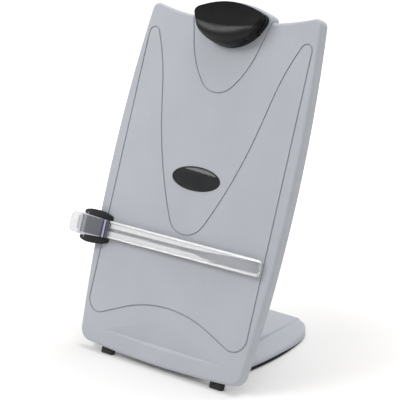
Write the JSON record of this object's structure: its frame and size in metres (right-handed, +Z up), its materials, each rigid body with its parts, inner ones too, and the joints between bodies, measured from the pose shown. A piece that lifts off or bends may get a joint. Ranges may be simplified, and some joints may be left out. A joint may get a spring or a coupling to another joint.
{
  "type": "copy holder",
  "caption": "Desk copy holder: a moulded board leaning on a folding foot, with a spring paper clip at the top and a clear line guide on an edge slider.",
  "frame": {"origin": "centre of the overall box, on the desk plane", "axes": "+Z up, -Y towards the reader (the board's face), +X to the reader's right"},
  "size_m": [0.2763, 0.201, 0.3791],
  "materials": {
    "board_plastic": "finely textured light grey moulding",
    "black_plastic": "plain black moulding",
    "clip_plastic": "satin black moulding",
    "slider_plastic": "satin black moulding",
    "badge_black": "polished black",
    "bezel_silver": "bright plated",
    "clear_plastic": "clear moulded acrylic",
    "screw_steel": "zinc plated",
    "pin_steel": "drawn",
    "spring_steel": "rolled strip",
    "washer_nylon": "natural nylon",
    "foot_rubber": "matt",
    "felt": "dense felt"
  },
  "bodies": {
    "base": {"base_foot": "board_plastic", "base_tray": "black_plastic", "base_screws": "screw_steel", "base_pads": "foot_rubber"},
    "board": {"front_board": "board_plastic", "back_cover": "board_plastic", "cover_screws": "screw_steel", "bracket_screws": "screw_steel", "badge_bezel": "bezel_silver", "badge_plate": "badge_black", "hinge_bracket_left": "black_plastic", "hinge_bracket_right": "black_plastic", "hinge_pin": "pin_steel", "hinge_pin_clip": "screw_steel", "hinge_washers": "washer_nylon", "clip_mount": "black_plastic", "clip_screws": "screw_steel", "clip_pin": "pin_steel", "clip_spring": "spring_steel", "front_feet": "foot_rubber"},
    "clip": {"clip_jaw": "clip_plastic", "clip_pad": "foot_rubber"},
    "slider": {"slider_body": "slider_plastic", "slider_back_plate": "slider_plastic", "slider_felt": "felt", "slider_screws": "screw_steel", "guide_stubs": "pin_steel"},
    "guide": {"line_guide": "clear_plastic"}
  },
  "joints": [
    {"name": "board_tilt", "type": "hinge", "parent": "base", "child": "board", "pos_m": [0.01635, -0.0695, 0.02849], "axis": [-1, 0, 0], "range_deg": [0, 66]},
    {"name": "clip_open", "type": "hinge", "parent": "board", "child": "clip", "pos_m": [0.02035, 0.02726, 0.35982], "axis": [-1, 0, 0], "range_deg": [0, 8], "stiffness_Nm_per_rad": 0.3, "springref_deg": -17.19},
    {"name": "guide_slide", "type": "slide", "parent": "board", "child": "slider", "axis": [0, 0.3584, 0.9336], "range_m": [-0.085, 0.2]},
    {"name": "guide_lift", "type": "hinge", "parent": "slider", "child": "guide", "pos_m": [-0.11365, -0.06106, 0.12862], "axis": [0, -0.3584, -0.9336], "range_deg": [0, 20]}
  ]
}
